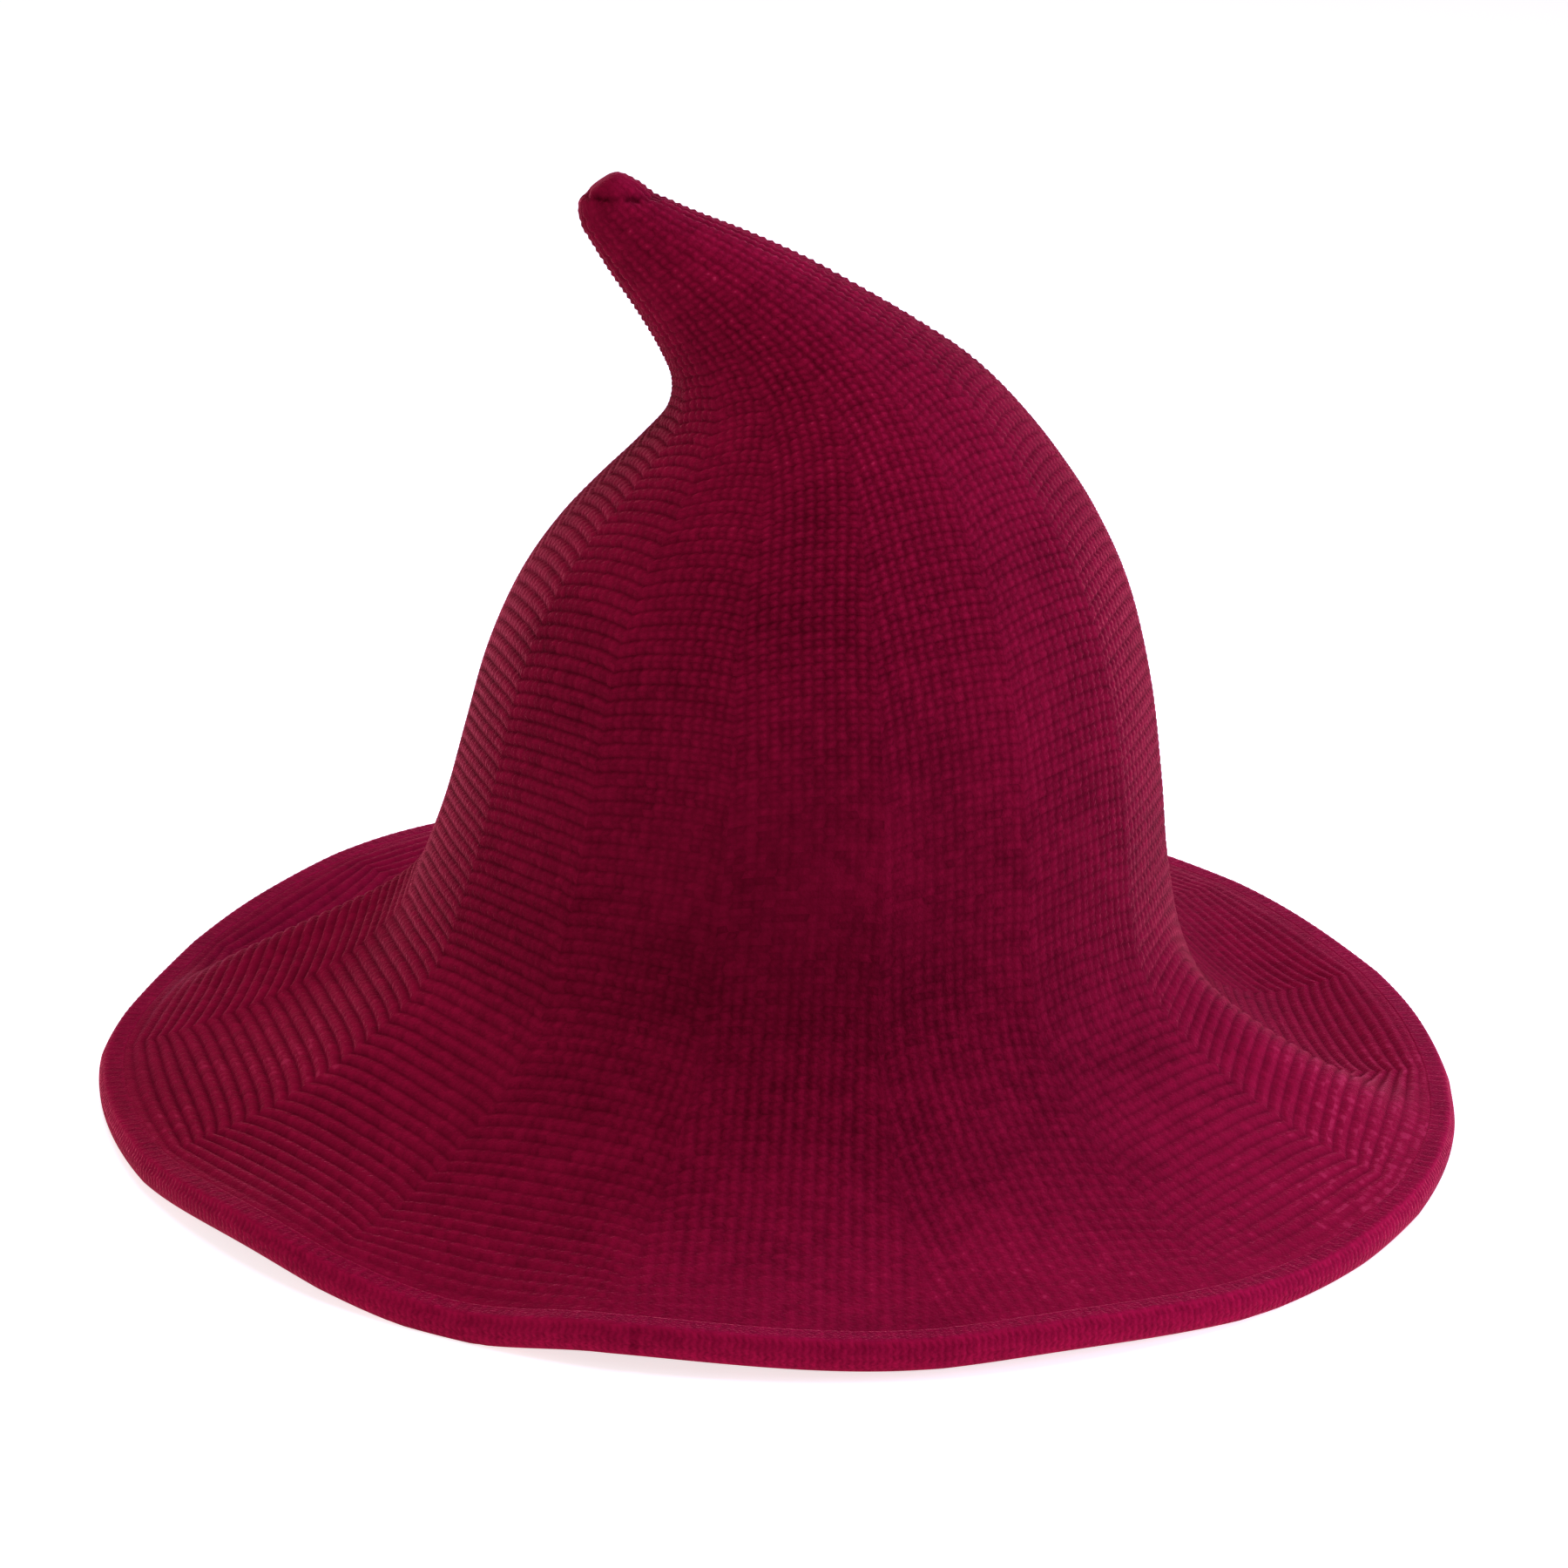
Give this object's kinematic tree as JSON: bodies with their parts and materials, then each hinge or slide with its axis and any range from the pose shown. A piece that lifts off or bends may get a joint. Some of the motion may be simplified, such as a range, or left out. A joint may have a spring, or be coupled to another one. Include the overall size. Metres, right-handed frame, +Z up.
{
  "type": "knitted wizard hat",
  "caption": "Knitted wizard hat with a round open crown, a peak bent over to one side and a wide, softly waved brim with a doubled hem, worn on the head.",
  "frame": {"origin": "middle of the brim's outline on the surface that the hat rests on", "axes": "+Z up towards the peak, -Y the front seen in the picture, -X the side that the peak leans to"},
  "size_m": [0.3443, 0.3551, 0.2296],
  "materials": {
    "body_knit": "soft matt wool knit, wales running round the hat",
    "hem_knit": "soft matt wool knit, doubled and sewn down"
  },
  "bodies": {
    "root": {"knit_body": "body_knit", "brim_hem": "hem_knit"}
  },
  "joints": []
}
